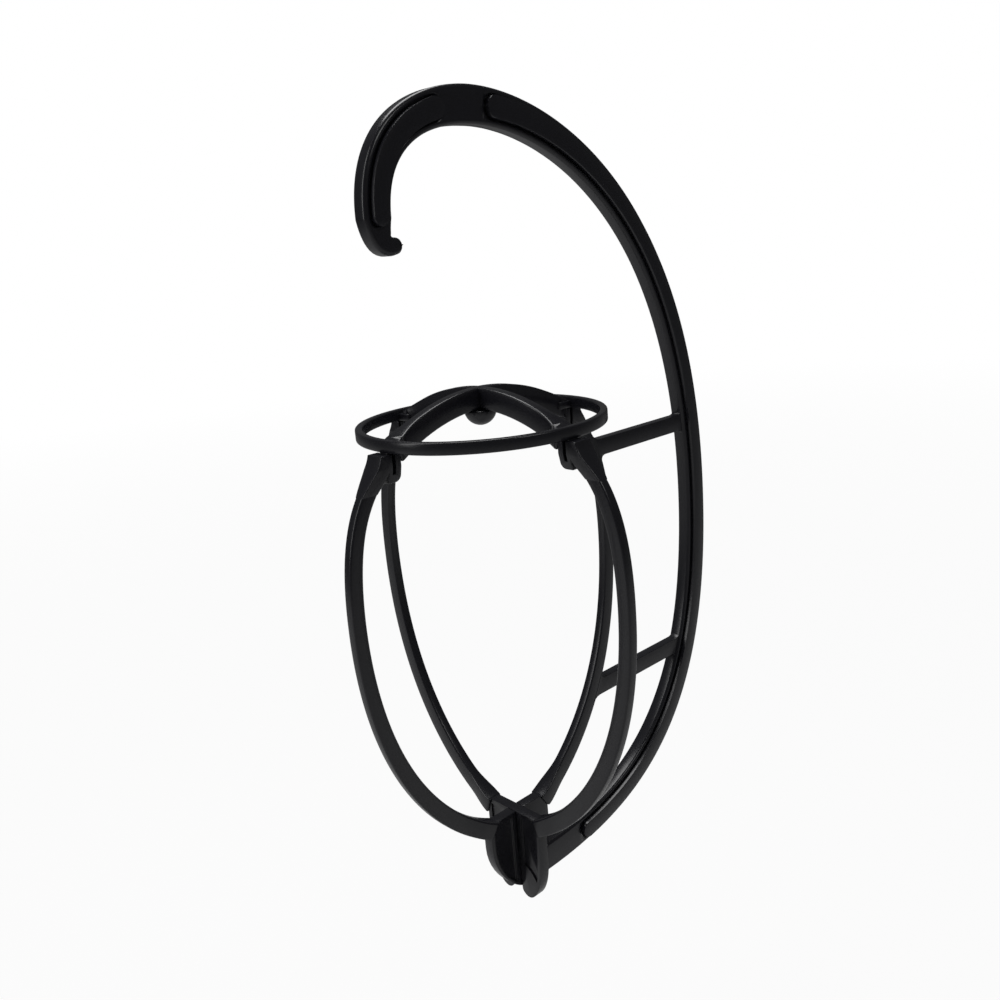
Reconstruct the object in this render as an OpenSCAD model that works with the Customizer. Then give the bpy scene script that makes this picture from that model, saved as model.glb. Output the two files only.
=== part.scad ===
// Hanging holder: a four-rib cage on a long curved hook, made of slot-together mouldings.
// The cage axis is Z, the hook and arm lie in the XZ plane, the cross frame in the YZ plane.
// Heights below are measured from the bottom of the hub, and place() moves every piece so that
// the origin is the highest point inside the hook, where the holder hangs on a rail.

/* [Cage] */
// Largest radius of the cage, to the middle of a rib
cage_r = 70; // [58:1:85]
// Height of the widest part of the cage
belly_z = 147; // [125:1:165]
// Depth of a rib, measured across the cage wall
rib_w = 5.8; // [4.5:0.1:7.5]
// Depth of a rib where it meets the hub
rib_root_w = 7.8; // [6:0.1:10]
// Thickness of a rib, measured round the cage
rib_t = 4.4; // [3.5:0.1:6]
// Width of a rib's flared foot
foot_flare = 7.2; // [6:0.1:10]
// Width of the socket at the head of a rib
socket_w = 8.6; // [8:0.1:12]

/* [Crown] */
// Radius of the crown ring, to the middle of its wall
ring_r = 48.5; // [42:0.1:58.2]
// Height of the middle of the crown ring
ring_z = 211.8; // [195:0.1:235]
// Height of the ring's wall
ring_h = 4.8; // [3:0.1:6]
// Thickness of the ring's wall
ring_t = 3; // [2:0.1:4]
// Rise of the crown arches above the middle of the ring
crown_rise = 14; // [10:0.5:20]
// Depth of an arch
arch_h = 8.5; // [6:0.1:10]
// Thickness of an arch
arch_t = 4.8; // [4:0.1:6]
// Radius of the round knob under the crossing
knob_r = 6.5; // [5.5:0.1:8]

/* [Hook and arm] */
// Reach of the arm from the cage axis, to the middle of the arm
arm_reach = 135.7; // [120:0.5:160]
// Height at which the arm reaches furthest
arm_belly_z = 151; // [130:1:175]
// Depth of the arm in its own plane
arm_w = 12.4; // [11:0.1:15]
// Depth of the arm where it leaves the hub
arm_root_w = 13.6; // [11:0.1:16]
// Thickness of the arm and the hook
arm_t = 6.8; // [6:0.1:9]
// Height of the top of the hook, to the middle of the bar
hook_z = 330; // [275:1:396]
// Depth of the bar at the top of the hook
hook_w = 14.2; // [12:0.1:16]
// Depth of the bar where the hook comes down
tip_w = 12; // [10:0.1:14]
// How far the hook reaches past the cage axis
hook_reach = 42; // [34:0.5:52]
// How far the hook comes down below its top
hook_drop = 38.5; // [30:0.5:50]
// Thickness of the web between the raised edges of the arm
web_t = 2.8; // [2:0.1:4]
// Width of the raised edges of the arm
edge_w = 2.8; // [2:0.1:3.6]

/* [Struts] */
// Height of the middle of the lower strut
low_strut_z = 74.5; // [60:0.5:95]
// Height of the middle of the upper strut
high_strut_z = 187.5; // [165:0.5:192]
// Depth of a strut
strut_w = 7.6; // [5:0.1:10]
// Thickness of a strut
strut_t = 4.6; // [3.5:0.1:6]

/* [Hub] */
// Half the width of the hook frame's hub plate
hub_r = 17.4; // [15:0.1:21]
// Half the width of the cross frame's hub plate
cross_r = 15.6; // [13:0.1:19]
// Height of the hub plate on the hook frame
hub_h = 38.5; // [34:0.5:46]
// Thickness of the hub plates
hub_t = 5; // [4:0.1:6]
// How far the cross plate's two lobes reach below the hook frame's plate
lobe_drop = 3.3; // [2:0.1:6]

/* [Fits] */
// Clearance on each side where one moulding slides into another
slot_gap = 0.2; // [0.1:0.05:0.3]
// Gap between a moulding and the seat that it stands on
seat_gap = 0.3; // [0.2:0.05:0.4]

/* [Hidden] */

$fn = 48;
black = "#17181a";
dark = "#222326";
coal = "#101113";
curve_steps = 22;
tip_steps = 8;
cap_steps = 10;

// Ribs
rib_root = [hub_r - 4, hub_h - 4.2];
seat_z = ring_z - ring_h / 2;
rib_top = [ring_r + 2.1, seat_z - seat_gap];
rib_low_pull = 0.68;
rib_high_pull = 0.8;
foot_run = 12;
foot_curve = 22;

// Sockets at the rib heads, and the tongues under the ring that drop into them
tongue_w = 2.8;
tongue_t = 4.6;
tongue_h = 7.6;
tongue_in = ring_r - tongue_w / 2 - 0.5;
wall = 1.6;
socket_in = tongue_in - slot_gap - wall;
socket_top = seat_z - seat_gap;
socket_h = 14;
block_h = 11;
socket_corner = 2.5;
taper_h = 9;
slit_w = 1.4;

// Crown
pad_in = ring_r - 8;
pad_h = 3.2;
pad_w = 10.4;
crown_z = ring_z + crown_rise;
arch_end = ring_r - ring_t / 2 - 1;
arch_foot = crown_rise - 1;
arch_top_r = (pow(arch_end, 2) + pow(arch_foot, 2)) / (2 * arch_foot);
arch_low = seat_z - 4;
arch_flare = 9.2;
flare_run = 14;
flare_curve = 30;
stem_r = 1.6;
stem_fit = 0.05;

// Arm
arm_root = [0, arm_root_w / 2];
hook_top = [4, hook_z];
hook_left = [-hook_reach, hook_z - hook_drop];
tip_end = hook_left + [6.5, -9.6];
lip_w = 6;
seat = hook_top - [0, hook_w / 2];
pocket_d = (arm_t - web_t) / 2;
fillet_r = 3;

// Hub plates
plate_edge = 2.2;
plate_pocket = 0.8;
hub_middle = hub_h / 2;
hub_shoulder = 26;
cross_shoulder = 16;
lobe_in = hub_t / 2 + slot_gap;

// A point on a cubic curve, and the points along one
function cubic(a, b, c, d, t) =
    pow(1 - t, 3) * a + 3 * pow(1 - t, 2) * t * b + 3 * (1 - t) * t * t * c + pow(t, 3) * d;
function curve(a, b, c, d, n, first = 0) = [for (i = [first:n]) cubic(a, b, c, d, i / n)];
function unit(v) = v / norm(v);
function heading(p, i) = unit(p[min(i + 1, len(p) - 1)] - p[max(i - 1, 0)]);
function side_of(p, i) = [heading(p, i)[1], -heading(p, i)[0]];
function reversed(p) = [for (i = [len(p) - 1:-1:0]) p[i]];
function reach_at(p, z) = lookup(z, [for (q = p) [q[1], q[0]]]);
function lean_at(p, z) = (reach_at(p, z + 1) - reach_at(p, z - 1)) / 2;
function face_at(p, z, w) = reach_at(p, z) + w / 2 * sqrt(1 + pow(lean_at(p, z), 2));
function part_of(p, from, to) = [for (i = [from:to]) p[i]];

// Middle line of a rib, as radius and height
rib_path = concat(
    curve(rib_root, rib_root + [14.4, 5.8],
          [cage_r, belly_z - rib_low_pull * (belly_z - rib_root[1])],
          [cage_r, belly_z], curve_steps),
    curve([cage_r, belly_z], [cage_r, belly_z + rib_high_pull * (rib_top[1] - belly_z)],
          rib_top + [2, -12.4], rib_top, curve_steps, 1));

// Middle line of the arm and hook, from the hub to the tip
arm_path = concat(
    curve(arm_root, arm_root + [0.42 * arm_reach, -2.4],
          [arm_reach, arm_belly_z - 0.94 * (arm_belly_z - arm_root[1])],
          [arm_reach, arm_belly_z], curve_steps),
    curve([arm_reach, arm_belly_z], [arm_reach, arm_belly_z + 0.78 * (hook_z - arm_belly_z)],
          hook_top + [0.33 * (arm_reach - hook_top[0]), 0], hook_top, curve_steps, 1),
    curve(hook_top, hook_top - [0.6 * (hook_top[0] + hook_reach), 0],
          hook_left + [0, 0.66 * hook_drop], hook_left, curve_steps, 1),
    curve(hook_left, hook_left - [0, 6], tip_end - [5, 0.6], tip_end, tip_steps, 1));

// Depth of the bar at each point of the arm's middle line
swell_from = curve_steps + 8;
top_at = 2 * curve_steps;
left_at = 3 * curve_steps;
tip_at = left_at + tip_steps;
function arm_depth(i) = lookup(i, [[0, arm_root_w], [curve_steps, arm_w], [swell_from, arm_w],
                                   [top_at, hook_w], [left_at, tip_w], [tip_at, lip_w]]);

// Points of a half-round end on a path, going round from the right-hand side to the left
function round_end(p, i, depth, way) = [for (a = [180 / cap_steps:180 / cap_steps:179])
    p[i] + way * depth / 2 * (cos(a) * side_of(p, i) + sin(a) * heading(p, i))];

// A bar of a given depth along a path, with half-round ends where they are asked for
module bar(path, depths, round_first = false, round_last = false) {
    last = len(path) - 1;
    polygon(concat(
        [for (i = [0:last]) path[i] + side_of(path, i) * depths[i] / 2],
        round_last ? round_end(path, last, depths[last], 1) : [],
        reversed([for (i = [0:last]) path[i] - side_of(path, i) * depths[i] / 2]),
        round_first ? round_end(path, 0, depths[0], -1) : []));
}

// Stands a flat outline up in the hook's plane, centred on it
module stand(t) rotate([90, 0, 0]) linear_extrude(t, center = true) children();
module place() translate([-seat[0], 0, -seat[1]]) children();

// Outline of the arm with its rounded tip
module arm_outline() bar(arm_path, [for (i = [0:tip_at]) arm_depth(i)], round_last = true);

// Outline of the sunk web between the raised edges, over part of the arm
module pocket_outline(from, to) bar(part_of(arm_path, from, to),
    [for (i = [from:to]) arm_depth(i) - 2 * edge_w], round_first = true, round_last = true);

// Depth of a rib at each point of its middle line
function rib_depth(i) = lookup(i, [[0, rib_root_w],
                                   [0.7 * curve_steps, 0.6 * rib_w + 0.4 * rib_root_w],
                                   [curve_steps, rib_w], [2 * curve_steps, rib_w]]);
module rib_outline() bar(rib_path, [for (i = [0:2 * curve_steps]) rib_depth(i)]);

// Outline of the hook frame's hub plate: a deep rounded U
function hub_side(inset) = curve(
    [hub_r - inset, hub_shoulder], [hub_r - inset, 0.5 * hub_shoulder],
    [0.35 * hub_r, 1 + inset], [0, inset], curve_steps / 2);
module hub_outline(inset = 0) {
    half = hub_side(inset);
    polygon(concat([[hub_r - inset, hub_h - inset]], half,
                   reversed([for (p = half) [-p[0], p[1]]]),
                   [[-hub_r + inset, hub_h - inset]]));
}

// Outline of the cross frame's hub plate: two rounded lobes, one each side of the slot
function lobe_side(inset) = concat(
    curve([cross_r - inset, cross_shoulder], [cross_r - inset, 0.4 * cross_shoulder],
          [0.72 * cross_r, inset - lobe_drop], [0.42 * cross_r, inset - lobe_drop], curve_steps / 2),
    curve([0.42 * cross_r, inset - lobe_drop], [0.3 * cross_r, inset - lobe_drop],
          [lobe_in, -0.5 * lobe_drop + inset], [lobe_in, inset], curve_steps / 4 - 0.5, 1));
module cross_outline(inset = 0) {
    half = lobe_side(inset);
    polygon(concat([[cross_r - inset, hub_h - inset]], half,
                   reversed([for (p = half) [-p[0], p[1]]]),
                   [[-cross_r + inset, hub_h - inset]]));
}

// A rib: a bar whose foot flares out against a hub plate of the given half width
module rib(plate_r) color(black) difference() {
    union() {
        stand(rib_t) rib_outline();
        intersection() {
            stand(foot_flare) rib_outline();
            linear_extrude(hub_h + 3 * foot_run) foot_plan(plate_r);
        }
    }
    translate([-1, -foot_flare, 0]) cube([plate_r + 1, 2 * foot_flare, hub_h]);
    socket_space();
}

// Plan of a rib's flared foot, seen from above
module foot_plan(plate_r) difference() {
    translate([rib_root[0] - 1, -foot_flare / 2]) square([plate_r + foot_run - rib_root[0], foot_flare]);
    for (s = [-1, 1]) translate([plate_r + foot_run, s * (rib_t / 2 + foot_curve)])
        circle(r = foot_curve);
}

// Space that a socket fills at the head of a rib
module socket_space() translate([socket_in, -socket_w, socket_top - socket_h])
    cube([2 * rib_top[0], 2 * socket_w, 2 * socket_h]);

// A socket: the rib's flared head, with a pocket that one tongue of the crown drops into
module socket() color(dark) difference() {
    intersection() {
        union() {
            intersection() {
                stand(socket_w) rib_outline();
                socket_space();
            }
            stand(socket_w) block_outline();
        }
        rotate([90, 0, 90]) linear_extrude(2 * rib_top[0]) socket_front();
    }
    translate([tongue_in - slot_gap, -tongue_t / 2 - slot_gap, socket_top - tongue_h])
        cube([tongue_w + 2 * slot_gap, tongue_t + 2 * slot_gap, tongue_h + 1]);
    translate([ring_r - 0.5 - slit_w / 2, -socket_w, socket_top - tongue_h])
        cube([slit_w, 2 * socket_w, tongue_h + 1]);
}

// Side outline of the socket's block, with its lower corner rounded
module block_outline() {
    low = socket_top - block_h;
    translate([socket_in + socket_corner, low])
        square([rib_top[0] - socket_in - socket_corner, block_h]);
    translate([socket_in, low + socket_corner]) square([socket_corner + 1, block_h - socket_corner]);
    translate([socket_in, low] + socket_corner * [1, 1]) circle(socket_corner);
}

// Front outline of a socket: it widens upwards from the rib's own thickness
module socket_front() {
    low = socket_top - socket_h;
    polygon([[-rib_t / 2, low], [rib_t / 2, low], [socket_w / 2, low + taper_h],
             [socket_w / 2, socket_top], [-socket_w / 2, socket_top],
             [-socket_w / 2, low + taper_h]]);
}

module hook_arm() place() color(black) difference() {
    stand(arm_t) difference() {
        arm_outline();
        hub_outline();
        translate([-hub_r, -hub_h]) square([hub_r + lobe_in, 2 * hub_h]);
    }
    for (s = [-1, 1]) translate([0, s * (web_t + pocket_d) / 2, 0]) stand(pocket_d + 0.01) {
        pocket_outline(5, top_at - 2);
        pocket_outline(top_at + 5, left_at);
    }
}

// A strut from the rear rib to the arm, with rounded inner corners at both ends
module strut(z) place() color(black) stand(strut_t) difference() {
    intersection() {
        union() {
            translate([0, z - strut_w / 2]) square([arm_reach, strut_w]);
            for (s = [-1, 1]) {
                edge = z + s * strut_w / 2;
                corner([face_at(rib_path, edge, rib_w), edge], -1, s);
                corner([face_at(arm_path, edge, -arm_w), edge], 1, s);
            }
        }
        polygon(part_of(arm_path, 0, top_at));
    }
    rib_outline();
    inside_rib();
    arm_outline();
}

// A rounded inner corner where a strut meets an upright: towards = 1 widens to +X, up = 1 to +Z
module corner(at, towards, up) translate(at) scale([towards, up]) difference() {
    translate([-fillet_r, -1]) square([2 * fillet_r, fillet_r + 1]);
    translate([-fillet_r, fillet_r]) circle(fillet_r);
}

// Everything inside the middle line of the rear rib
module inside_rib() polygon(concat([[0, rib_root[1]]], rib_path, [[0, rib_top[1]]]));

module upper_strut() strut(high_strut_z);
module lower_strut() strut(low_strut_z);
module rear_rib() place() rib(hub_r);
module front_rib() place() mirror([1, 0, 0]) rib(hub_r);
module left_rib() place() rotate(90) rib(cross_r);
module right_rib() place() rotate(-90) rib(cross_r);
module rear_socket() place() socket();
module front_socket() place() mirror([1, 0, 0]) socket();
module left_socket() place() rotate(90) socket();
module right_socket() place() rotate(-90) socket();

// Hub plate of the hook frame, slotted from above to its middle
module frame_hub() place() color(coal) difference() {
    stand(hub_t) hub_outline();
    for (s = [-1, 1]) translate([0, s * hub_t / 2, 0]) stand(2 * plate_pocket) intersection() {
        hub_outline(plate_edge);
        translate([-hub_r, 0]) square([hub_r - hub_t, hub_h]);
    }
    translate([-hub_t / 2 - slot_gap, -hub_t, hub_middle - seat_gap])
        cube([hub_t + 2 * slot_gap, 2 * hub_t, hub_h]);
}

// Hub plate of the cross frame, slotted from below to its middle
module cross_hub() place() rotate(90) color(coal) difference() {
    stand(hub_t) cross_outline();
    for (s = [-1, 1]) translate([0, s * hub_t / 2, 0]) stand(2 * plate_pocket)
        for (m = [0, 1]) mirror([m, 0]) intersection() {
            cross_outline(plate_edge);
            difference() {
                translate([hub_t, 0]) square([hub_r, hub_h]);
                circle(r = 0.9 * cross_r);
            }
        }
    translate([-lobe_in, -hub_t, -hub_h])
        cube([2 * lobe_in, 2 * hub_t, hub_h + hub_middle]);
}

// The crown's ring, with four pads inside it that carry the arches and a tongue under each
module crown_ring() place() color(black) difference() {
    union() {
        translate([0, 0, seat_z]) rotate_extrude($fn = 96)
            translate([ring_r - ring_t / 2, 0]) square([ring_t, ring_h]);
        for (a = [0:90:270]) rotate(a) {
            translate([pad_in, -pad_w / 2, seat_z]) cube([ring_r - pad_in, pad_w, pad_h]);
            translate([tongue_in, -tongue_t / 2, seat_z - tongue_h])
                cube([tongue_w, tongue_t, tongue_h + 1]);
        }
    }
    arch();
    rotate(90) arch();
}

// An arch in its own plane: a round bar that passes down through the pads
module arch_outline() intersection() {
    translate([0, crown_z - arch_top_r]) difference() {
        circle(arch_top_r, $fn = 128);
        circle(arch_top_r - arch_h, $fn = 128);
    }
    union() {
        translate([-arch_end, seat_z]) square([2 * arch_end, 2 * crown_rise]);
        translate([-socket_in + seat_gap, arch_low])
            square([2 * (socket_in - seat_gap), 2 * crown_rise]);
    }
}

module arch() {
    stand(arch_t) arch_outline();
    intersection() {
        stand(arch_flare) arch_outline();
        for (m = [0, 1]) mirror([m, 0, 0]) linear_extrude(crown_z) flare_plan();
    }
}

// Plan of an arch's flared foot, seen from above
module flare_plan() difference() {
    translate([arch_end - flare_run, -arch_flare / 2]) square([flare_run, arch_flare]);
    for (s = [-1, 1]) translate([arch_end - flare_run, s * (arch_t / 2 + flare_curve)])
        circle(r = flare_curve);
}

module crossing_cut(above) {
    middle = crown_z - arch_h / 2;
    translate([-arch_t / 2, -arch_t / 2, above ? middle : middle - arch_h])
        cube([arch_t, arch_t, arch_h]);
}

module main_arch() place() color(black) difference() {
    arch();
    crossing_cut(true);
    stem_bore();
}

module cross_arch() place() color(black) difference() {
    rotate(90) arch();
    crossing_cut(false);
    stem_bore();
}

module stem_bore() translate([0, 0, crown_z - arch_h - 1]) cylinder(r = stem_r, h = arch_h - 1);

// Round knob under the crossing, on a stem that pins the two arches together
module crown_knob() place() color(dark) {
    under = crown_z - arch_h - seat_gap;
    translate([0, 0, under - 1]) cylinder(r = stem_r - stem_fit, h = arch_h - 1.5);
    rotate_extrude() intersection() {
        translate([0, under - knob_r]) square([knob_r, knob_r]);
        translate([0, under]) circle(knob_r);
    }
}

hook_arm();
upper_strut();
lower_strut();
rear_rib();
front_rib();
frame_hub();
rear_socket();
front_socket();
left_rib();
right_rib();
cross_hub();
left_socket();
right_socket();
crown_ring();
main_arch();
cross_arch();
crown_knob();
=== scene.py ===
"""Hanging cage holder: the visible mouldings, their gloss black plastic and the studio."""

import math

import bmesh
import bpy
import numpy as np
from bpy.props import FloatProperty, FloatVectorProperty, PointerProperty
from mathutils import Matrix, Vector


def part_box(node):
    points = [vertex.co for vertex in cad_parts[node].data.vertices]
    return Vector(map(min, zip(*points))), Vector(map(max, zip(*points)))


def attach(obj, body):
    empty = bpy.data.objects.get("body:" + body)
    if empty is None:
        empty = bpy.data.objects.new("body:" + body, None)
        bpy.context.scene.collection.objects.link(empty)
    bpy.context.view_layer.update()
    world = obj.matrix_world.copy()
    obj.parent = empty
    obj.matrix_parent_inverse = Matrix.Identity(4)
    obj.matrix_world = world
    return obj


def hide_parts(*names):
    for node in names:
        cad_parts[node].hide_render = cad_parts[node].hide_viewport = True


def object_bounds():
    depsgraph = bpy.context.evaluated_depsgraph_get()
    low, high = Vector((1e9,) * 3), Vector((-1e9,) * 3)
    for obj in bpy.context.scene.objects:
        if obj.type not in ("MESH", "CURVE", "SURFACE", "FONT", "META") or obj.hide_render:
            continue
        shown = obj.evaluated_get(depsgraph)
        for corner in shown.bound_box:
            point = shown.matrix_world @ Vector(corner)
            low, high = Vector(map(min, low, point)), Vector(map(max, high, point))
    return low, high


bl_info = {
    "name": "Hanging Cage Holder",
    "version": (1, 0, 0),
    "blender": (4, 5, 0),
    "location": "3D View > Sidebar > Holder",
    "description": "Builds the mouldings of a hanging cage holder and the studio around it",
    "category": "Object",
}

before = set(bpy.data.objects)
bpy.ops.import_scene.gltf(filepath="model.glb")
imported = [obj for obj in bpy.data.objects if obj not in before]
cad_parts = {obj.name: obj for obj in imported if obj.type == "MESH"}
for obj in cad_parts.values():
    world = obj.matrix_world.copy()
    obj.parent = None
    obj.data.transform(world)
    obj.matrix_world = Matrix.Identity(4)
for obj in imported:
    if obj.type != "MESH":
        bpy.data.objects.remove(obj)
CAD_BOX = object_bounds()

# The cage axis and the bottom of the hub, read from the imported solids
RING_LOW, RING_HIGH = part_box("crown_ring")
AXIS = Vector(((RING_LOW.x + RING_HIGH.x) / 2, 0.0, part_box("frame_hub")[0].z))
MM = 0.001

# Clearances and tolerances
SEAT_GAP = 0.3 * MM  # clearance under the crown's ring and arches
BITE = 0.6 * MM  # how far a brace's ends reach into the rib and the arm
MERGE = 0.002 * MM  # points closer than this are one point
SMOOTH_BELOW = 38  # degrees between faces that are shaded as one surface


# ---------------------------------------------------------------- sizes and colours


def size(name, description, default):
    return FloatProperty(name=name, description=description, default=default * MM,
                         subtype="DISTANCE", unit="LENGTH", precision=4)


class HolderArmSizes(bpy.types.PropertyGroup):
    reach: size("Reach", "Cage axis to the middle of the arm", 135.7)
    belly_z: size("Belly height", "Height at which the arm reaches furthest", 151)
    depth: size("Arm depth", "Depth of the arm in its own plane", 12.4)
    root_depth: size("Root depth", "Depth of the arm where it leaves the hub", 13.6)
    thickness: size("Thickness", "Thickness of the arm and the hook", 6.8)
    hook_z: size("Hook height", "Height of the bar at the top of the hook", 330)
    hook_depth: size("Hook depth", "Depth of the bar at the top of the hook", 14.2)
    tip_depth: size("Tip depth", "Depth of the bar where the hook comes down", 12)
    lip_depth: size("Lip depth", "Depth of the hook's curled lip", 6)
    hook_reach: size("Hook reach", "How far the hook passes the cage axis", 42)
    hook_drop: size("Hook drop", "How far the hook comes down", 38.5)
    web: size("Web", "Thickness of the sunk web", 2.8)
    rim: size("Rim", "Width of the raised edges", 2.8)


class HolderCageSizes(bpy.types.PropertyGroup):
    radius: size("Radius", "Largest radius of the cage", 70)
    belly_z: size("Belly height", "Height of the widest part of the cage", 147)
    depth: size("Rib depth", "Depth of a rib across the cage wall", 5.8)
    root_depth: size("Root depth", "Depth of a rib at the hub", 7.8)
    thickness: size("Rib thickness", "Thickness of a rib round the cage", 4.4)
    foot: size("Foot width", "Width of a rib's flared foot", 7.2)
    hub: size("Hub half width", "Half the width of the hook frame's hub plate", 17.4)
    cross: size("Cross half width", "Half the width of the cross frame's hub plate", 15.6)
    hub_height: size("Hub height", "Height of the hub plates", 38.5)
    brace_depth: size("Brace depth", "Depth of a brace between cage and arm", 7.6)
    brace_thickness: size("Brace thickness", "Thickness of a brace", 4.6)
    low_brace: size("Lower brace height", "Height of the lower brace", 74.5)
    high_brace: size("Upper brace height", "Height of the upper brace", 187.5)


class HolderCrownSizes(bpy.types.PropertyGroup):
    radius: size("Ring radius", "Ring radius to the middle of its wall", 48.5)
    z: size("Ring height", "Height of the middle of the ring", 211.8)
    wall_height: size("Wall height", "Height of the ring's wall", 4.8)
    wall: size("Wall", "Thickness of the ring's wall", 3)
    rise: size("Arch rise", "Rise of the arches above the ring", 14)
    arch_depth: size("Arch depth", "Depth of an arch", 8.5)
    arch: size("Arch thickness", "Thickness of an arch", 4.8)
    arch_foot: size("Arch foot", "Width of an arch's flared foot", 9.2)
    knob: size("Knob radius", "Radius of the knob under the crossing", 6.5)


class HolderFinish(bpy.types.PropertyGroup):
    black: FloatVectorProperty(name="Black", description="Colour of the moulded plastic",
                               subtype="COLOR", size=3, default=(0.0055, 0.0055, 0.0062))
    bloom: FloatVectorProperty(name="Bloom",
                               description="Colour of the plastic's faint dull bloom",
                               subtype="COLOR", size=3, default=(0.011, 0.011, 0.0112))
    gloss: FloatProperty(name="Roughness", description="Roughness of the clean plastic",
                         default=0.16, min=0.0, max=1.0, subtype="FACTOR")
    grain: FloatProperty(name="Grain", description="Strength of the fine moulded grain",
                         default=0.14, min=0.0, max=1.0, subtype="FACTOR")
    floor: FloatVectorProperty(name="Floor", description="Colour of the pale floor",
                               subtype="COLOR", size=3, default=(0.86, 0.86, 0.86))
    lamp: FloatProperty(name="Lamp power", description="Power of the main lamp",
                        default=6.5, min=0.0, unit="POWER")


# ---------------------------------------------------------------- shader helpers


class Wire:
    """A node's output that Python arithmetic can be written with."""

    def __init__(self, kit, socket):
        self.kit, self.socket = kit, socket

    def maths(self, operation, *values):
        return self.kit.add("ShaderNodeMath", {"operation": operation},
                            {k: v for k, v in enumerate(values)})

    def __add__(self, other):
        return self.maths("ADD", self, other)

    def __sub__(self, other):
        return self.maths("SUBTRACT", self, other)

    def __mul__(self, other):
        return self.maths("MULTIPLY", self, other)

    def __rsub__(self, other):
        return self.maths("SUBTRACT", other, self)

    __radd__, __rmul__ = __add__, __mul__


class Kit:
    """Adds nodes to one material or world and wires them up."""

    def __init__(self, tree):
        self.tree = tree
        tree.nodes.clear()

    def add(self, kind, settings=None, values=None, output=0):
        node = self.tree.nodes.new(kind)
        for name, value in (settings or {}).items():
            setattr(node, name, value)
        for key, value in (values or {}).items():
            if isinstance(value, Wire):
                self.tree.links.new(value.socket, node.inputs[key])
            else:
                node.inputs[key].default_value = value
        return Wire(self, node.outputs[output]) if node.outputs else None

    def mix(self, amount, first, second):
        return self.add("ShaderNodeMix", {"data_type": "RGBA"},
                        {0: amount, 6: (*first, 1.0), 7: (*second, 1.0)}, output=2)


def moulded_plastic(name, finish, offset):
    """Gloss black moulded plastic with a faint bloom, flow streaks and a fine grain."""
    material = bpy.data.materials.new(name)
    material.use_nodes = True
    kit = Kit(material.node_tree)
    place = kit.add("ShaderNodeTexCoord", output=3)
    place = kit.add("ShaderNodeMapping", {}, {"Vector": place, "Location": offset})
    flow = kit.add("ShaderNodeMapping", {}, {"Vector": place, "Scale": (1.0, 1.0, 0.16)})
    cloud = kit.add("ShaderNodeTexNoise", {}, {"Vector": place, "Scale": 26.0, "Detail": 4.0})
    streak = kit.add("ShaderNodeTexNoise", {}, {"Vector": flow, "Scale": 340.0, "Detail": 3.0})
    grain = kit.add("ShaderNodeTexNoise", {}, {"Vector": place, "Scale": 2600.0, "Detail": 2.0})
    sink = kit.add("ShaderNodeTexNoise", {}, {"Vector": place, "Scale": 60.0, "Detail": 1.0})
    bloom = kit.add("ShaderNodeMapRange", {"interpolation_type": "SMOOTHSTEP"},
                    {0: cloud, 1: 0.42, 2: 0.72, 3: 0.0, 4: 1.0})
    speck = kit.add("ShaderNodeTexVoronoi", {}, {"Vector": place, "Scale": 210.0})
    speck = kit.add("ShaderNodeMapRange", {}, {0: speck, 1: 0.03, 2: 0.075, 3: 1.0, 4: 0.0})
    colour = kit.mix(bloom * 0.7 + speck * 0.25, tuple(finish.black), tuple(finish.bloom))
    rough = bloom * 0.07 + (streak - 0.5) * 0.08 + speck * 0.2 + finish.gloss
    height = grain * 0.000012 + streak * 0.00001 + sink * 0.00009
    bump = kit.add("ShaderNodeBump", {}, {"Strength": finish.grain * 1.5, "Distance": 1.0,
                                          "Height": height})
    shader = kit.add("ShaderNodeBsdfPrincipled", {}, {
        "Base Color": colour, "Roughness": rough, "Normal": bump,
        "IOR": 1.48, "Coat Weight": 0.12, "Coat Roughness": 0.06})
    kit.add("ShaderNodeOutputMaterial", {}, {0: shader})
    return material


# ---------------------------------------------------------------- paths


def cubic(a, b, c, d, t):
    return (1 - t) ** 3 * a + 3 * (1 - t) ** 2 * t * b + 3 * (1 - t) * t * t * c + t ** 3 * d


def curve(a, b, c, d, steps, first=0):
    return [cubic(a, b, c, d, i / steps) for i in range(first, steps + 1)]


class Run:
    """A member's middle line, as points of reach and height, measured along its length."""

    def __init__(self, points):
        self.points = np.array([tuple(p) for p in points])
        steps = np.linalg.norm(np.diff(self.points, axis=0), axis=1)
        self.along = np.concatenate([[0.0], np.cumsum(steps)])
        self.length = self.along[-1]
        slopes = np.gradient(self.points, self.along, axis=0)
        self.headings = slopes / np.linalg.norm(slopes, axis=1)[:, None]

    def at(self, s):
        return Vector([np.interp(s, self.along, self.points[:, k]) for k in (0, 1)])

    def heading(self, s):
        return Vector([np.interp(s, self.along, self.headings[:, k])
                       for k in (0, 1)]).normalized()

    def side(self, s, distance):
        """A point beside the line, to the right of its heading."""
        h = self.heading(s)
        return self.at(s) + distance * Vector((h.y, -h.x))

    def reach(self, z, distance=0.0):
        """Reach of the line's right-hand side where it passes a height, on the way up."""
        low, high = 0.0, self.along[int(np.argmax(self.points[:, 1]))]
        for _ in range(40):
            middle = (low + high) / 2
            low, high = (middle, high) if self.side(middle, distance).y < z else (low, middle)
        return self.side(low, distance).x


CURVE_STEPS = 2000  # points on each long curve
LIP_STEPS = 24  # points on the short curve of the hook's lip
HOOK_OFFSET = 4 * MM  # cage axis to the highest point of the hook
RIB_SINK, RIB_DROP = 4 * MM, 4.2 * MM  # how far a rib's root lies inside the hub plate
SOCKET_OFFSET = 2.1 * MM  # middle of the ring's wall to the head of a rib
HUB_SHOULDER, HUB_SIDE = 13 * MM, 26 * MM  # heights that steer the hub's lower edge


def mark(share):
    """Index of the point that lies some number of long curves along a run."""
    return round(share * CURVE_STEPS)


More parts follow.
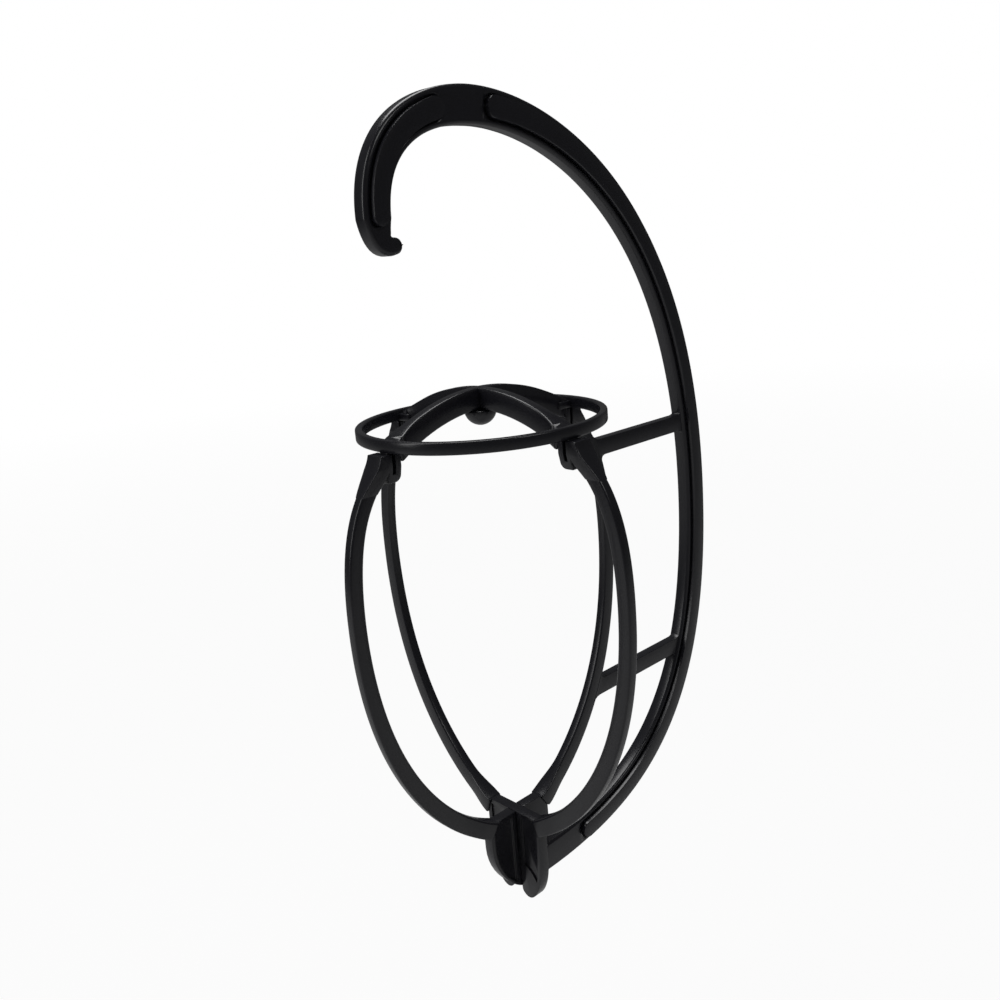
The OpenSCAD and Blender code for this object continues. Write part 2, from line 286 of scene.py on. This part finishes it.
def arm_run(arm):
    """The line of the arm and the hook, with the distances to its top and its far side."""
    root = Vector((0, arm.root_depth / 2))
    belly = Vector((arm.reach, arm.belly_z))
    top = Vector((HOOK_OFFSET, arm.hook_z))
    left = Vector((-arm.hook_reach, arm.hook_z - arm.hook_drop))
    tip = left + Vector((6.5, -9.6)) * MM
    points = curve(root, root + Vector((0.42 * arm.reach, -2.4 * MM)),
                   belly - Vector((0, 0.94 * (arm.belly_z - root.y))), belly, CURVE_STEPS)
    points += curve(belly, belly + Vector((0, 0.78 * (arm.hook_z - arm.belly_z))),
                    top + Vector((0.33 * (arm.reach - top.x), 0)), top, CURVE_STEPS, 1)
    marks = [len(points) - 1]
    points += curve(top, top - Vector((0.6 * (top.x + arm.hook_reach), 0)),
                    left + Vector((0, 0.66 * arm.hook_drop)), left, CURVE_STEPS, 1)
    marks.append(len(points) - 1)
    points += curve(left, left - Vector((0, 6 * MM)),
                    tip - Vector((5, 0.6)) * MM, tip, LIP_STEPS, 1)
    run = Run(points)
    return run, [run.along[k] for k in marks]


def rib_run(cage, crown):
    """The line of a rib, from inside the hub plate to the crown's seat."""
    root = Vector((cage.hub - RIB_SINK, cage.hub_height - RIB_DROP))
    belly = Vector((cage.radius, cage.belly_z))
    seat = crown.z - crown.wall_height / 2 - SEAT_GAP
    top = Vector((crown.radius + SOCKET_OFFSET, seat))
    return Run(curve(root, root + Vector((14.4, 5.8)) * MM,
                     belly - Vector((0, 0.68 * (cage.belly_z - root.y))), belly, CURVE_STEPS)
               + curve(belly, belly + Vector((0, 0.8 * (seat - cage.belly_z))),
                       top + Vector((2, -12.4)) * MM, top, CURVE_STEPS, 1))


def hub_edge(cage):
    """Lower edge of the hook frame's hub plate, as a function of the reach."""
    half = curve(Vector((0, 0)), Vector((0.35 * cage.hub, 1 * MM)),
                 Vector((cage.hub, HUB_SHOULDER)), Vector((cage.hub, HUB_SIDE)), CURVE_STEPS)
    return lambda x: float(np.interp(x, [p.x for p in half], [p.y for p in half]))


# ---------------------------------------------------------------- modelling


def strip(rows):
    """A flat sheet in the hook's plane whose rows of points run along a member."""
    bm = bmesh.new()
    across, along = len(rows[0]) - 1, len(rows) - 1
    bmesh.ops.create_grid(bm, x_segments=across, y_segments=along, size=1.0)
    for f in bm.faces:
        at = f.calc_center_median()
        near = rows[int((at.y + 1) / 2 * along)], rows[int((at.y + 1) / 2 * along) + 1]
        f.material_index = int(across == 3 and abs(at.x) < 0.2
                               and any((r[1] - r[2]).length > 1e-6 for r in near))
    for v in bm.verts:
        p = rows[round((v.co.y + 1) / 2 * along)][round((v.co.x + 1) / 2 * across)]
        v.co = (p[0], 0.0, p[1])
    return bm


def thicken(bm, thickness):
    """Turns a flat sheet into a plate centred on the hook's plane."""
    bmesh.ops.remove_doubles(bm, verts=bm.verts, dist=MERGE)
    bmesh.ops.translate(bm, verts=bm.verts, vec=(0, -thickness / 2, 0))
    pulled = bmesh.ops.extrude_face_region(bm, geom=bm.faces[:])["geom"]
    bmesh.ops.translate(bm, vec=(0, thickness, 0),
                        verts=[v for v in pulled if isinstance(v, bmesh.types.BMVert)])
    bmesh.ops.recalc_face_normals(bm, faces=bm.faces)


def soften(bm, radius, segments=3, sharper_than=32, clamp=True):
    """Rounds the edges that turn more sharply than an angle in degrees."""
    limit = math.radians(sharper_than)
    edges = [e for e in bm.edges if len(e.link_faces) == 2
             and e.calc_face_angle(0.0) > limit]
    bmesh.ops.bevel(bm, geom=edges, offset=radius, offset_type="OFFSET", affect="EDGES",
                    segments=segments, profile=0.5, material=-1, clamp_overlap=clamp)


def sink_pockets(bm, depth, radius):
    """Sinks the marked web between the raised edges on both sides of a plate."""
    for side in (-1, 1):
        web = [f for f in bm.faces if f.material_index == 1 and f.normal.y * side > 0.9]
        pulled = bmesh.ops.extrude_face_region(bm, geom=web)["geom"]
        bmesh.ops.translate(bm, vec=(0, -side * depth, 0),
                            verts=[v for v in pulled if isinstance(v, bmesh.types.BMVert)])
    soften(bm, radius, 2, 60)
    for f in bm.faces:
        f.material_index = 0


def block(bm, low, high, radius):
    """Adds a block with rounded edges between two corners."""
    low, high = Vector(low), Vector(high)
    scale = Matrix.Diagonal((*(high - low), 1.0))
    made = bmesh.ops.create_cube(bm, size=1.0,
                                 matrix=Matrix.Translation((low + high) / 2) @ scale)
    edges = list({e for v in made["verts"] for e in v.link_edges})
    bmesh.ops.bevel(bm, geom=edges, offset=radius, offset_type="OFFSET", affect="EDGES",
                    segments=3, profile=0.5, material=-1, clamp_overlap=True)


def from_solid(node, radius):
    """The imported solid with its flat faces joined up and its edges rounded."""
    bm = bmesh.new()
    bm.from_mesh(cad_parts[node].data)
    bmesh.ops.remove_doubles(bm, verts=bm.verts, dist=MERGE)
    bmesh.ops.dissolve_limit(bm, angle_limit=math.radians(1), verts=bm.verts, edges=bm.edges)
    soften(bm, radius, sharper_than=30)
    return bm


def finish_piece(name, bm, body, slot, nodes, turn=0.0, placed=False):
    """Makes a piece from a mesh in the maker's own frame and hangs it on its body."""
    if not placed:
        bmesh.ops.transform(bm, verts=bm.verts,
                            matrix=Matrix.Translation(AXIS) @ Matrix.Rotation(turn, 4, "Z"))
    bmesh.ops.dissolve_degenerate(bm, dist=0.001 * MM, edges=bm.edges)
    mesh = bpy.data.meshes.new(name)
    bm.to_mesh(mesh)
    bm.free()
    piece = bpy.data.objects.new(name, mesh)
    bpy.context.scene.collection.objects.link(piece)
    mesh.shade_smooth()
    mesh.set_sharp_from_angle(angle=math.radians(SMOOTH_BELOW))
    mesh.materials.append(bpy.data.materials[slot])
    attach(piece, body)
    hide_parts(*nodes)


# ---------------------------------------------------------------- operators


class HOLDER_OT_plastics(bpy.types.Operator):
    """Mixes the plastic of each moulding"""

    bl_idname = "holder.plastics"
    bl_label = "Plastics"

    def execute(self, context):
        finish = context.scene.holder_finish
        moulded_plastic("hook_frame_plastic", finish, (0.0, 0.0, 0.0))
        moulded_plastic("cross_frame_plastic", finish, (0.7, 0.3, 0.2))
        moulded_plastic("crown_plastic", finish, (0.2, 0.9, 0.5))
        return {"FINISHED"}


class HOLDER_OT_arm(bpy.types.Operator):
    """Builds the arm and the hook, with raised edges round a sunk web"""

    bl_idname = "holder.arm"
    bl_label = "Arm and hook"

    def execute(self, context):
        arm, cage = context.scene.holder_arm, context.scene.holder_cage
        run, (top, left) = arm_run(arm)
        belly = run.along[mark(1)]
        swell = run.along[mark(1 + 8 / 22)]
        hub = hub_edge(cage)

        def depth(s):
            return float(np.interp(s, [0, belly, swell, top, left, run.length],
                                   [arm.root_depth, arm.depth, arm.depth, arm.hook_depth,
                                    arm.tip_depth, arm.lip_depth]))

        pockets = [(run.along[mark(5 / 22)], run.along[mark(42 / 22)]),
                   (run.along[mark(2 + 5 / 22)], left)]

        def web(s):
            for start, end in pockets:
                full = depth(s) / 2 - arm.rim
                past = max(start - s, s - end, 0.0) / full
                if past < 1:
                    return full * math.sqrt(1 - past * past)
            return 0.0

        start_at, count = 3 * MM, 640
        stations = set(np.linspace(start_at, run.length, count))
        for start, end in pockets:
            for a in range(0, 91, 10):
                swing = math.sin(math.radians(a))
                stations.add(start - (depth(start) / 2 - arm.rim) * swing)
                stations.add(end + (depth(end) / 2 - arm.rim) * swing)
        rows = []
        for s in sorted(stations):
            half, rim = depth(s) / 2, web(s)
            row = [run.side(s, d) for d in (half, rim, -rim, -half)]
            if s < belly and row[0].x < cage.hub:
                row[3].y = min(row[3].y, hub(row[3].x) + 0.2 * MM)
                row[1] = row[2] = (row[0] + row[3]) / 2
            rows.append(row)
        end, heading = run.at(run.length), run.heading(run.length)
        side = Vector((heading.y, -heading.x))
        for a in range(10, 91, 10):
            a = math.radians(a)
            nose = end + arm.lip_depth / 2 * math.sin(a) * heading
            spread = arm.lip_depth / 2 * math.cos(a) * side
            rows.append([nose + spread, nose, nose, nose - spread])
        bm = strip(rows)
        thicken(bm, arm.thickness)
        soften(bm, 1.4 * MM, 4, clamp=False)
        sink_pockets(bm, (arm.thickness - arm.web) / 2, 0.35 * MM)
        finish_piece("arm_and_hook", bm, "hook_frame", "hook_frame_plastic", ["hook_arm"])
        return {"FINISHED"}


class HOLDER_OT_braces(bpy.types.Operator):
    """Builds the two braces that tie the rear rib to the arm"""

    bl_idname = "holder.braces"
    bl_label = "Braces"

    def execute(self, context):
        arm, cage = context.scene.holder_arm, context.scene.holder_cage
        rib = rib_run(cage, context.scene.holder_crown)
        run = arm_run(arm)[0]
        fillet = 3 * MM
        for name, z, node in (("upper_brace", cage.high_brace, "upper_strut"),
                              ("lower_brace", cage.low_brace, "lower_strut")):
            near = rib.reach(z, cage.depth / 2)
            span = run.reach(z, -arm.depth / 2) - near
            rows = []
            for t in sorted({k / 40 for k in range(41)} | {0.004, 0.012, 0.988, 0.996}):
                gap = min(t, 1 - t) * span
                flare = fillet - math.sqrt(max(fillet ** 2 - (fillet - gap) ** 2, 0.0)) \
                    if gap < fillet else 0.0
                row = []
                for up in (-1, 1):
                    level = z + up * (cage.brace_depth / 2 + flare)
                    start = rib.reach(level, cage.depth / 2) - BITE
                    finish = run.reach(level, -arm.depth / 2) + BITE
                    row.append((start + t * (finish - start), level))
                rows.append(row)
            bm = strip(rows)
            thicken(bm, cage.brace_thickness)
            soften(bm, 0.8 * MM)
            finish_piece(name, bm, "hook_frame", "hook_frame_plastic", [node])
        return {"FINISHED"}


class HOLDER_OT_ribs(bpy.types.Operator):
    """Builds the four bowed ribs with their flared feet"""

    bl_idname = "holder.ribs"
    bl_label = "Ribs"

    def execute(self, context):
        cage, crown = context.scene.holder_cage, context.scene.holder_crown
        run = rib_run(cage, crown)
        belly, slim = run.along[mark(1)], run.along[mark(0.7)]
        foot_start, foot_lift = 14.8 * MM, 1.2 * MM
        foot_run, foot_fade = 12 * MM, 20 * MM
        depths = [cage.root_depth, 0.6 * cage.depth + 0.4 * cage.root_depth, cage.depth,
                  cage.depth]
        for name, turn, plate, body in (
                ("rear_rib", 0, cage.hub, "hook_frame"),
                ("front_rib", 180, cage.hub, "hook_frame"),
                ("left_rib", 90, cage.cross, "cross_frame"),
                ("right_rib", -90, cage.cross, "cross_frame")):
            rows = []
            for s in np.linspace(0, run.length - 3 * MM, 130):
                half = float(np.interp(s, [0, slim, belly, run.length], depths)) / 2
                fade = max(0.0, 1 - s / foot_fade)
                rows.append([run.side(s + (plate - foot_start) * fade, half),
                             run.side(s + foot_lift * fade, -half)])
            bm = strip(rows)
            thicken(bm, cage.thickness)
            for v in bm.verts:
                near = min(1.0, max(0.0, plate + foot_run - v.co.x) / foot_run)
                near *= v.co.z < cage.belly_z / 2
                flare = (cage.foot - cage.thickness) / 2 * near * near * (3 - 2 * near)
                v.co.y = math.copysign(cage.thickness / 2 + flare, v.co.y)
            soften(bm, 0.8 * MM)
            finish_piece(name, bm, body, body + "_plastic", [name], math.radians(turn))
        return {"FINISHED"}


class HOLDER_OT_sockets(bpy.types.Operator):
    """Rounds the four slotted sockets at the heads of the ribs"""

    bl_idname = "holder.sockets"
    bl_label = "Sockets"

    def execute(self, context):
        for name, body in (("rear_socket", "hook_frame"), ("front_socket", "hook_frame"),
                           ("left_socket", "cross_frame"), ("right_socket", "cross_frame")):
            finish_piece(name, from_solid(name, 0.45 * MM), body, body + "_plastic", [name],
                         placed=True)
        return {"FINISHED"}


class HOLDER_OT_hub(bpy.types.Operator):
    """Rounds the two slotted hub plates that cross at the bottom of the cage"""

    bl_idname = "holder.hub"
    bl_label = "Hub plates"

    def execute(self, context):
        for name, body in (("frame_hub", "hook_frame"), ("cross_hub", "cross_frame")):
            finish_piece(name, from_solid(name, 0.5 * MM), body, body + "_plastic", [name],
                         placed=True)
        return {"FINISHED"}


class HOLDER_OT_ring(bpy.types.Operator):
    """Spins the crown's ring and adds its pads and tongues"""

    bl_idname = "holder.ring"
    bl_label = "Crown ring"

    def execute(self, context):
        crown = context.scene.holder_crown
        bm = bmesh.new()
        low = crown.z - crown.wall_height / 2
        corners = [(crown.radius + a * crown.wall / 2, low + b * crown.wall_height)
                   for a, b in ((-1, 0), (1, 0), (1, 1), (-1, 1))]
        verts = [bm.verts.new((x, 0, z)) for x, z in corners]
        edges = [bm.edges.new((verts[k], verts[(k + 1) % 4])) for k in range(4)]
        bmesh.ops.spin(bm, geom=verts + edges, cent=(0, 0, 0), axis=(0, 0, 1),
                       angle=math.tau, steps=144, use_merge=True)
        bmesh.ops.remove_doubles(bm, verts=bm.verts, dist=MERGE)
        bmesh.ops.recalc_face_normals(bm, faces=bm.faces)
        soften(bm, 0.7 * MM, 3, 50)
        spare = bmesh.new()
        inner, pad_half, pad_height = crown.radius - 8 * MM, 5.2 * MM, 3.2 * MM
        block(spare, (inner, -pad_half, low + 0.02 * MM),
              (crown.radius, pad_half, low + pad_height), 0.5 * MM)
        tongue, tongue_half = crown.radius - 1.9 * MM, 2.3 * MM
        tongue_wall, tongue_drop = 2.8 * MM, 7.6 * MM
        block(spare, (tongue, -tongue_half, low - tongue_drop),
              (tongue + tongue_wall, tongue_half, low + 1 * MM), 0.4 * MM)
        pads = bpy.data.meshes.new("pads")
        spare.to_mesh(pads)
        spare.free()
        for _ in range(4):
            pads.transform(Matrix.Rotation(math.pi / 2, 4, "Z"))
            bm.from_mesh(pads)
        bpy.data.meshes.remove(pads)
        finish_piece("crown_ring_piece", bm, "crown", "crown_plastic", ["crown_ring"])
        return {"FINISHED"}


class HOLDER_OT_arches(bpy.types.Operator):
    """Builds the two arches that cross over the crown"""

    bl_idname = "holder.arches"
    bl_label = "Crown arches"

    def execute(self, context):
        crown = context.scene.holder_crown
        reach = crown.radius - crown.wall / 2 - 1 * MM
        foot = crown.rise - 1 * MM
        radius = (reach ** 2 + foot ** 2) / (2 * foot)
        middle = crown.z + crown.rise - radius
        swing = math.asin(reach / radius)
        inner = crown.radius - 4 * MM
        bottom = crown.z - crown.wall_height / 2 - 4 * MM
        flare_run, flare_radius = 14 * MM, 30 * MM
        for name, turn, sink, node in (("main_arch_piece", 0.0, 0.0, "main_arch"),
                                       ("cross_arch_piece", math.pi / 2, 0.04 * MM,
                                        "cross_arch")):
            rows = []
            for k in range(97):
                a = swing * (k / 48 - 1)
                upper = Vector((radius * math.sin(a), middle + radius * math.cos(a) - sink))
                near = radius - crown.arch_depth
                lower = Vector((near * math.sin(a), middle + near * math.cos(a) - sink))
                skew = max(0.0, abs(k / 48 - 1) - 0.8) / 0.2
                lower = lower.lerp(Vector((math.copysign(inner, a), bottom)), skew ** 2)
                rows.append([upper, lower])
            bm = strip(rows)
            thicken(bm, crown.arch)
            for v in bm.verts:
                near = max(0.0, abs(v.co.x) - (reach - flare_run))
                flare = flare_radius - math.sqrt(flare_radius ** 2 - near ** 2)
                half = min(crown.arch / 2 + flare, crown.arch_foot / 2)
                v.co.y = math.copysign(half, v.co.y)
            soften(bm, 0.9 * MM)
            finish_piece(name, bm, "crown", "crown_plastic", [node], turn)
        return {"FINISHED"}


class HOLDER_OT_knob(bpy.types.Operator):
    """Spins the round knob under the crossing"""

    bl_idname = "holder.knob"
    bl_label = "Knob"

    def execute(self, context):
        crown = context.scene.holder_crown
        under = crown.z + crown.rise - crown.arch_depth - SEAT_GAP
        r, stem, stem_height, shoulder = crown.knob, 1.5 * MM, 6 * MM, 1.3 * MM
        outline = [(0, under + stem_height), (stem, under + stem_height), (stem, under)]
        outline += [(r - shoulder + shoulder * math.sin(math.radians(a)),
                     under - shoulder + shoulder * math.cos(math.radians(a)))
                    for a in range(0, 61, 15)]
        outline += [(r * math.cos(math.radians(a)), under - r * math.sin(math.radians(a)))
                    for a in range(14, 91, 4)]
        outline[-1] = (0, outline[-1][1])
        bm = bmesh.new()
        verts = [bm.verts.new((x, 0, z)) for x, z in outline]
        edges = [bm.edges.new(pair) for pair in zip(verts, verts[1:])]
        bmesh.ops.spin(bm, geom=verts + edges, cent=(0, 0, 0), axis=(0, 0, 1),
                       angle=math.tau, steps=64, use_merge=True)
        bmesh.ops.remove_doubles(bm, verts=bm.verts, dist=0.01 * MM)
        bmesh.ops.recalc_face_normals(bm, faces=bm.faces)
        finish_piece("crown_knob_piece", bm, "crown", "crown_plastic", ["crown_knob"])
        return {"FINISHED"}


class HOLDER_OT_studio(bpy.types.Operator):
    """Sets the pale floor, the soft lamps and the camera"""

    bl_idname = "holder.studio"
    bl_label = "Studio"

    def execute(self, context):
        scene, finish = context.scene, context.scene.holder_finish
        scene.view_settings.view_transform = "Standard"
        pale = bpy.data.materials.new("pale_floor")
        pale.use_nodes = True
        kit = Kit(pale.node_tree)
        seen = kit.add("ShaderNodeLightPath")
        place = kit.add("ShaderNodeTexCoord", output=3)
        wash = kit.add("ShaderNodeTexNoise", {}, {"Vector": place, "Scale": 3.0})
        tone = kit.mix(wash, tuple(finish.floor), tuple(0.97 * c for c in finish.floor))
        matt = kit.add("ShaderNodeBsdfDiffuse", {}, {"Color": tone})
        glow = kit.add("ShaderNodeEmission", {}, {"Color": (1, 1, 1, 1), "Strength": 1.0})
        away = kit.add("ShaderNodeVectorMath", {"operation": "LENGTH"}, {0: place}, output=1)
        away = kit.add("ShaderNodeMapRange", {}, {0: away, 1: 0.7, 2: 2.5, 3: 0.94, 4: 1.0})
        shader = kit.add("ShaderNodeMixShader", {}, {0: seen * away, 1: matt, 2: glow})
        kit.add("ShaderNodeOutputMaterial", {}, {0: shader})
        floor_radius, floor_drop = 6.0, 0.12
        level = CAD_BOX[0][2] - floor_drop
        bm = bmesh.new()
        bmesh.ops.create_circle(bm, cap_ends=True, segments=96, radius=floor_radius,
                                matrix=Matrix.Translation((0, 0, level)))
        mesh = bpy.data.meshes.new("floor")
        bm.to_mesh(mesh)
        bm.free()
        mesh.materials.append(pale)
        floor = bpy.data.objects.new("floor", mesh)
        scene.collection.objects.link(floor)

        world = bpy.data.worlds.new("studio")
        scene.world = world
        world.use_nodes = True
        kit = Kit(world.node_tree)
        seen = kit.add("ShaderNodeLightPath")
        level = seen * 0.92 + 0.08
        light = kit.add("ShaderNodeBackground", {}, {"Color": (1, 1, 1, 1), "Strength": level})
        kit.add("ShaderNodeOutputWorld", {}, {0: light})

        aim = Vector((0.02, 0.0, -0.17))
        for name, at, width, height, share in (
                ("top_lamp", (0.15, 0.3, 0.85), 0.6, 0.6, 0.9),
                ("front_lamp", (-0.95, 0.35, 0.35), 0.3, 1.1, 0.5),
                ("side_lamp", (0.1, -1.1, 0.75), 0.5, 0.3, 0.3)):
            lamp = bpy.data.lights.new(name, "AREA")
            lamp.shape, lamp.size, lamp.size_y = "RECTANGLE", width, height
            lamp.energy = finish.lamp * share
            holder = bpy.data.objects.new(name, lamp)
            holder.location = at
            holder.rotation_euler = (aim - Vector(at)).to_track_quat("-Z", "Y").to_euler()
            holder.visible_camera = False
            scene.collection.objects.link(holder)

        lens = bpy.data.cameras.new("camera")
        lens.lens, lens.sensor_width = 36.0, 36.0
        lens.clip_start = 0.01
        camera = bpy.data.objects.new("camera", lens)
        camera.matrix_world = Matrix.LocRotScale(
            Vector((-0.26535, -0.29216, -0.03919)),
            Matrix(((0.719752, 0.236658, -0.652649), (-0.689328, 0.132086, -0.712307),
                    (-0.082367, 0.962573, 0.258204))).to_quaternion(), None)
        scene.collection.objects.link(camera)
        scene.camera = camera
        return {"FINISHED"}


class HOLDER_PT_sidebar(bpy.types.Panel):
    """Lists the pieces and their sizes in the sidebar"""

    bl_idname = "HOLDER_PT_sidebar"
    bl_label = "Hanging Cage Holder"
    bl_space_type = "VIEW_3D"
    bl_region_type = "UI"
    bl_category = "Holder"

    def draw(self, context):
        for step in BUILD_ORDER:
            self.layout.operator(step)
        for name in GROUPS:
            group = getattr(context.scene, name)
            box = self.layout.box()
            for field in group.bl_rna.properties:
                if field.identifier not in ("rna_type", "name"):
                    box.prop(group, field.identifier)


GROUPS = {"holder_arm": HolderArmSizes, "holder_cage": HolderCageSizes,
          "holder_crown": HolderCrownSizes, "holder_finish": HolderFinish}
OPERATORS = (HOLDER_OT_plastics, HOLDER_OT_arm, HOLDER_OT_braces, HOLDER_OT_ribs,
             HOLDER_OT_sockets, HOLDER_OT_hub, HOLDER_OT_ring, HOLDER_OT_arches,
             HOLDER_OT_knob, HOLDER_OT_studio)
BUILD_ORDER = [operator.bl_idname for operator in OPERATORS]


def register():
    for kind in (*GROUPS.values(), *OPERATORS, HOLDER_PT_sidebar):
        bpy.utils.register_class(kind)
    for name, kind in GROUPS.items():
        setattr(bpy.types.Scene, name, PointerProperty(type=kind))


def unregister():
    for name in GROUPS:
        delattr(bpy.types.Scene, name)
    for kind in reversed((*GROUPS.values(), *OPERATORS, HOLDER_PT_sidebar)):
        bpy.utils.unregister_class(kind)


def main():
    register()
    for step in BUILD_ORDER:
        group, name = step.split(".")
        getattr(getattr(bpy.ops, group), name)()


if __name__ == "__main__":
    main()
